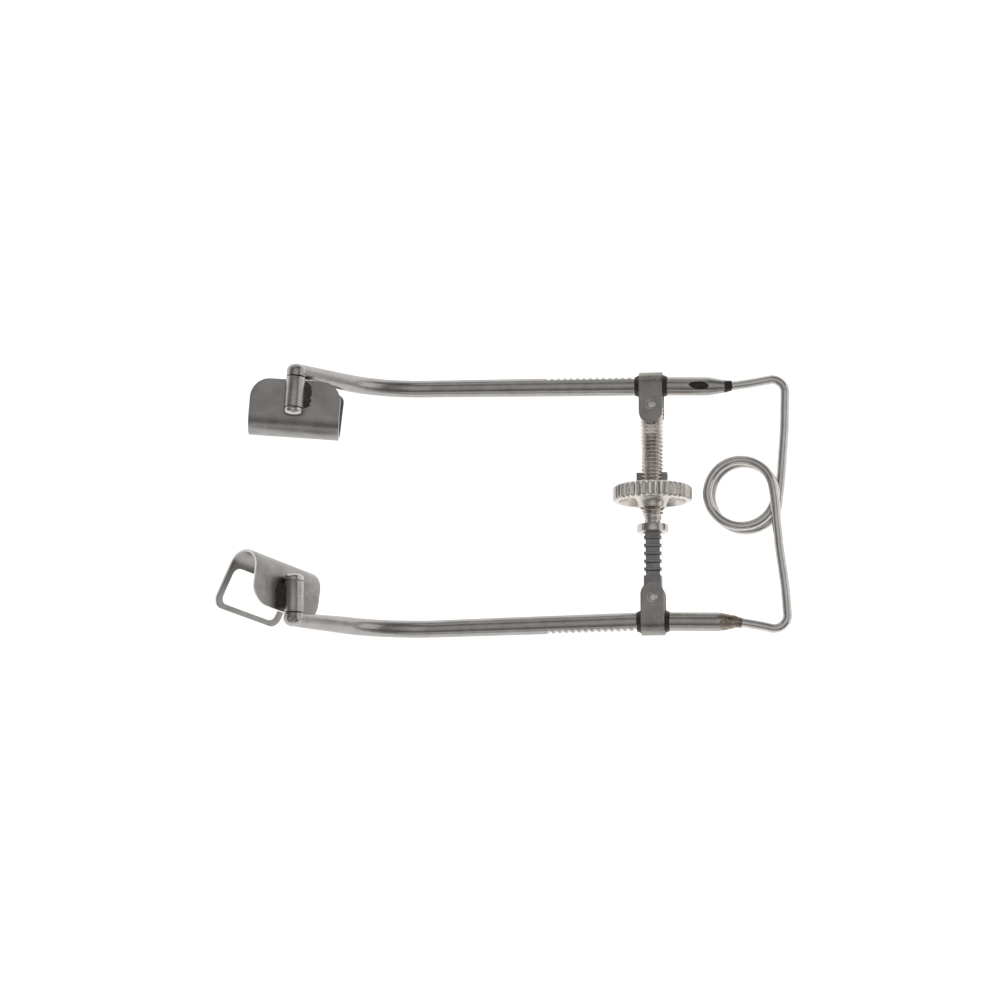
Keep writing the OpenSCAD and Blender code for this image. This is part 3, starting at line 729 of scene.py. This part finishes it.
def solder_plug():
    """Patch of dark solder in the face of the upper arm, drawn out to a point towards the strap"""
    middle_u, length, width = 10.3, 4.0, 1.8
    rows = []
    for i in range(21):
        t = -1 + 2 * i / 20
        u = middle_u + length / 2 * t
        y = ARM_Y + (UPPER_TAIL[1] - ARM_Y) * u / UPPER_TAIL[0]
        spread = width / 2 * sqrt(max(0.0, 1 - t * t)) ** 0.75 * (0.93 + 0.12 * t) + 0.02
        rows.append((u, y, spread))
    rings = []
    for u, y, spread in rows:
        ring = []
        for lift in (0.03, -0.25):
            stations = [-1 + 2 * k / 10 for k in range(11)]
            for k in stations if lift > 0 else reversed(stations):
                out = spread * k - 0.15
                crown = sqrt(max(0.0, 4.0 - out * out)) + lift
                ring.append(plane(u + (0.18 * sin(5 * k)), y + out, crown))
        rings.append(ring)
    return finish_as(skin("solder_patch", rings, smooth_below=50), "upper_solder_plug", dark_solder)


solder_plug()

# ---- Rod, collar, bar, key and nut ----

THREAD_PITCH, CREST, ROOT = 0.8, 2.5, 1.98
# The flats at the top of the rod, and its rounded eye on the upper rivet
FLAT_FROM, FLAT_HALF, EYE_Y, EYE_R = 14.7, 1.92, UPPER_RIVET_Y, 2.2


def threaded_rod():
    """Cut thread from the neck up to the riveted eye, with two flats at the top and a slot for the bar"""
    sides, step = 72, THREAD_PITCH / 10
    rings = []
    y = -2.95
    while y <= 22.95:
        ring = []
        for j in range(sides):
            angle = 2 * pi * j / sides
            part = (y / THREAD_PITCH - angle / (2 * pi)) % 1
            ridge = min(1.0, max(0.0, 1.35 - 2.9 * abs(part - 0.5)))
            fade = min(1.0, max(0.0, (y + 2.95) / 0.9)) * min(1.0, max(0.0, (22.9 - y) / 0.5))
            r = ROOT + (CREST - ROOT) * ridge * fade
            u, w = r * cos(angle), r * sin(angle)
            if y > FLAT_FROM:
                w = max(-FLAT_HALF, min(FLAT_HALF, w))
            if y > EYE_Y:
                reach = sqrt(max(0.04, EYE_R ** 2 - (y - EYE_Y) ** 2))
                u = max(-reach, min(reach, u))
            ring.append(plane(u, y, w))
        rings.append(ring)
        y += step
    rod = skin("screw_rod", rings, smooth_below=24)
    neck = [(0, -6.35), (1.95, -6.35), (2.0, -6.25), (2.0, -4.7), (1.8, -4.55), (1.72, -4.3), (1.78, -3.9),
            (1.95, -3.5), (2.08, -3.2), (2.1, -2.9), (2.05, -2.5), (0, -2.4)]
    cut(rod, lathe("neck", neck, nut_middle, across, sides=56), "UNION", 24)
    slot = bevelled_block("slot", plane(0, 2.9, 0), (3.5, 9.4, 1.05), 0.05, (along, across, up))
    cut(rod, slot, "DIFFERENCE", 24)
    eye = lathe("rivet_hole", [(0, -4), (1.18, -4), (1.18, 4), (0, 4)], plane(0, EYE_Y, 0), up, sides=40)
    cut(rod, eye, "DIFFERENCE", 24)
    return finish_as(rod, "threaded_rod", cut_thread_steel)


def collar():
    profile = [(2.06, -6.3), (2.1, -6.37), (3.22, -6.37), (3.36, -6.31), (3.4, -6.15), (3.4, -4.95),
               (3.36, -4.79), (3.22, -4.73), (2.1, -4.73), (2.06, -4.8)]
    ring = lathe("rod_collar_ring", profile, nut_middle, across, sides=72)
    return finish_as(ring, "rod_collar", polished_steel)


def bar_section(y, half_u, half_w, soft=0.3):
    """Rounded rectangle across the bar"""
    points = []
    for corner_u, corner_w, start in ((1, 1, 0), (-1, 1, 90), (-1, -1, 180), (1, -1, 270)):
        for k in range(6):
            c, s = turned(start + 90 * k / 5)
            points.append(plane(corner_u * (half_u - soft) + soft * c, y,
                                corner_w * (half_w - soft) + soft * s))
    return points


def ratchet_bar():
    """Bar with barbs like a ratchet below the collar, and a thick lug on the lower rivet"""
    top, rib, ribs = -7.2, 1.7, 5
    rows = [(3.7, 1.6, 0.72), (0.0, 1.6, 0.95), (-6.9, 1.6, 0.95), (top + 0.12, 1.62, 0.95)]
    for i in range(ribs):
        y = top - i * rib
        rows += [(y, 1.84, 0.93), (y - 0.05, 1.88, 0.97), (y - 0.5, 1.88, 0.97), (y - 0.58, 1.8, 0.9),
                 (y - 0.72, 1.55, 0.62), (y - 1.2, 1.5, 0.6), (y - rib + 0.06, 1.5, 0.64)]
    rows += [(-15.72, 1.62, 1.1), (-15.78, 1.85, 1.62), (-15.9, 1.9, 1.68), (-18.0, 1.9, 1.7)]
    rows += [(LOWER_RIVET_Y, 1.9, 1.7)]
    rows += [(LOWER_RIVET_Y - 2.05 * sin(a), 1.9 * max(0.25, cos(a)), 1.7)
             for a in arc(0, radians(80), 8)[1:]]
    rings = [bar_section(y, u, w, 0.3 if w > 0.75 else 0.18) for y, u, w in rows]
    bar = skin("ratchet_strip", rings, smooth_below=30)
    tenon = bevelled_block("tenon", plane(0, 5.0, 0), (0.88, 1.45, 0.48), 0.05, (along, across, up))
    cut(bar, tenon, "UNION", 30)
    hole = lathe("lug_hole", [(0, -4), (1.4, -4), (1.4, 4), (0, 4)], plane(0, LOWER_RIVET_Y, 0), up, sides=40)
    cut(bar, hole, "DIFFERENCE", 30)
    return finish_as(bar, "ratchet_bar", filed_dark_steel)


def cross_key():
    key = bevelled_block("key_block", plane(0, 5.11, 0), (3.3, 1.38, 1.0), 0.16, (along, across, up))
    window = bevelled_block("key_window", plane(0, 5.0, 0), (0.92, 3.0, 0.52), 0.02, (along, across, up))
    return finish_as(cut(key, window, "DIFFERENCE", 30), "cross_key", filed_dark_steel)


def thumb_nut():
    """Straight-knurled rim over a dished underside with a short tapered boss"""
    flutes = 40
    # Radius, height and how deep the knurl cuts there, up the rim, under the dish and back through the bore
    rim = [(2.62, 3.5, 0), (2.75, 3.6, 0), (4.2, 3.6, 0), (7.4, 3.6, 0), (7.95, 3.56, 0.3), (8.2, 3.42, 0.7),
           (8.42, 3.2, 1), (8.5, 2.95, 1), (8.5, 2.3, 1), (8.5, 1.6, 1), (8.5, 0.9, 1), (8.42, 0.62, 1),
           (8.2, 0.38, 0.7), (7.95, 0.25, 0.3), (7.7, 0.2, 0), (7.35, 0.2, 0), (7.2, 0.28, 0), (7.05, 0.75, 0),
           (6.9, 1.2, 0), (6.6, 1.3, 0), (5.2, 1.3, 0), (4.3, 1.24, 0), (3.75, 1.0, 0), (3.38, 0.5, 0),
           (3.12, 0.0, 0), (2.98, -0.6, 0), (2.92, -0.95, 0), (2.86, -1.1, 0), (2.74, -1.15, 0),
           (2.62, -1.05, 0), (2.62, 1.0, 0)]
    weights = {(radius, height): weight for radius, height, weight in rim}

    def knurl(radius, height, angle):
        weight = weights[(radius, height)]
        if not weight:
            return radius
        tooth = int(angle / (2 * pi) * flutes)
        part = (angle / (2 * pi) * flutes) % 1
        valley = min(1.0, max(0.0, 2.4 * abs(part - 0.5) - 0.16) * 1.15)
        uneven = 0.82 + 0.3 * noise.noise(Vector((tooth * 1.7, 3.1, height * 0.35)))
        return radius - 0.42 * (1 - valley) * weight * uneven

    nut = lathe("knurled_nut", [(radius, height) for radius, height, weight in rim], nut_middle, across,
                sides=flutes * 9, shape=knurl, smooth_below=26)
    return finish_as(nut, "thumb_nut", knurled_nut_steel)


threaded_rod()
collar()
ratchet_bar()
cross_key()
thumb_nut()

# ---- Table, light and camera ----


def table():
    """Plain white table top, lit so that it stays white"""
    work = bmesh.new()
    bmesh.ops.create_grid(work, x_segments=8, y_segments=8, size=1.5)
    mesh = bpy.data.meshes.new("table_top")
    work.to_mesh(mesh)
    work.free()
    top = bpy.data.objects.new("table_top", mesh)
    top.location.z = -0.0002
    bpy.context.scene.collection.objects.link(top)
    paper = bpy.data.materials.new("white_paper")
    paper.use_nodes = True
    tree = paper.node_tree
    shader = tree.nodes["Principled BSDF"]
    shader.inputs["Roughness"].default_value = 0.9
    shader.inputs["Specular IOR Level"].default_value = 0.0
    shader.inputs["Emission Color"].default_value = (1, 1, 1, 1)
    shader.inputs["Emission Strength"].default_value = 0.82
    where = add(tree, "ShaderNodeTexCoord").outputs["Object"]
    fibre = add(tree, "ShaderNodeTexNoise", [("Vector", where), ("Scale", 1500.0)])
    tone = add(tree, "ShaderNodeValToRGB", [("Fac", fibre.outputs["Fac"])])
    tone.color_ramp.elements[0].color = linear("#f4f4f4")
    tone.color_ramp.elements[1].color = linear("#fafafa")
    tree.links.new(tone.outputs["Color"], shader.inputs["Base Color"])
    mesh.materials.append(paper)


def soft_box(name, place, aim, size, power):
    light = bpy.data.lights.new(name, "AREA")
    light.shape = "RECTANGLE"
    light.size, light.size_y = size
    light.energy = power
    lamp = bpy.data.objects.new(name, light)
    lamp.location = place
    lamp.rotation_euler = (Vector(aim) - Vector(place)).to_track_quat("-Z", "Y").to_euler()
    bpy.context.scene.collection.objects.link(lamp)


def studio():
    """Pale floor and ceiling with a dark band round the walls, and three soft boxes"""
    world = bpy.data.worlds.new("studio_room")
    bpy.context.scene.world = world
    world.use_nodes = True
    tree = world.node_tree
    where = add(tree, "ShaderNodeTexCoord").outputs["Generated"]
    height = add(tree, "ShaderNodeSeparateXYZ", [("Vector", where)])
    ramp = add(tree, "ShaderNodeValToRGB", [("Fac", height.outputs["Z"])])
    stops = ramp.color_ramp.elements
    stops[0].position, stops[0].color = 0.0, (0.9, 0.9, 0.9, 1)
    stops[1].position, stops[1].color = 1.0, (0.74, 0.74, 0.75, 1)
    for position, grey in ((0.12, 0.62), (0.28, 0.38), (0.44, 0.24), (0.6, 0.17), (0.78, 0.26), (0.93, 0.54)):
        stops.new(position).color = (grey, grey, grey * 1.01, 1)
    tree.links.new(ramp.outputs["Color"], tree.nodes["Background"].inputs["Color"])
    tree.nodes["Background"].inputs["Strength"].default_value = 1.0
    soft_box("right_window", (0.75, 0.1, 0.42), (0, 0, 0.01), (0.9, 0.45), 1.0)
    soft_box("front_window", (-0.1, -0.8, 0.38), (0, 0, 0.01), (0.7, 0.3), 0.35)
    soft_box("back_window", (-0.25, 0.75, 0.5), (0, 0, 0.01), (0.6, 0.3), 0.3)


def camera():
    """Looks down on the middle of the tool, ten degrees off plumb"""
    low, high = cad_box
    middle = Vector(((low[0] + high[0]) / 2, (low[1] + high[1]) / 2, nut_middle.z))
    aim = middle + Vector((-1.108, 0.644, 0)) * MM
    rise = radians(80)
    place = aim + Vector((0, -cos(rise), sin(rise))) * 0.6
    lens = bpy.data.cameras.new("product_camera")
    lens.sensor_width = 36
    lens.lens = 101.3
    lens.clip_start = 0.01
    eye = bpy.data.objects.new("product_camera", lens)
    eye.location = place
    eye.rotation_euler = (aim - place).to_track_quat("-Z", "Y").to_euler()
    bpy.context.scene.collection.objects.link(eye)
    bpy.context.scene.camera = eye


table()
studio()
camera()
bpy.context.scene.view_settings.view_transform = "Standard"
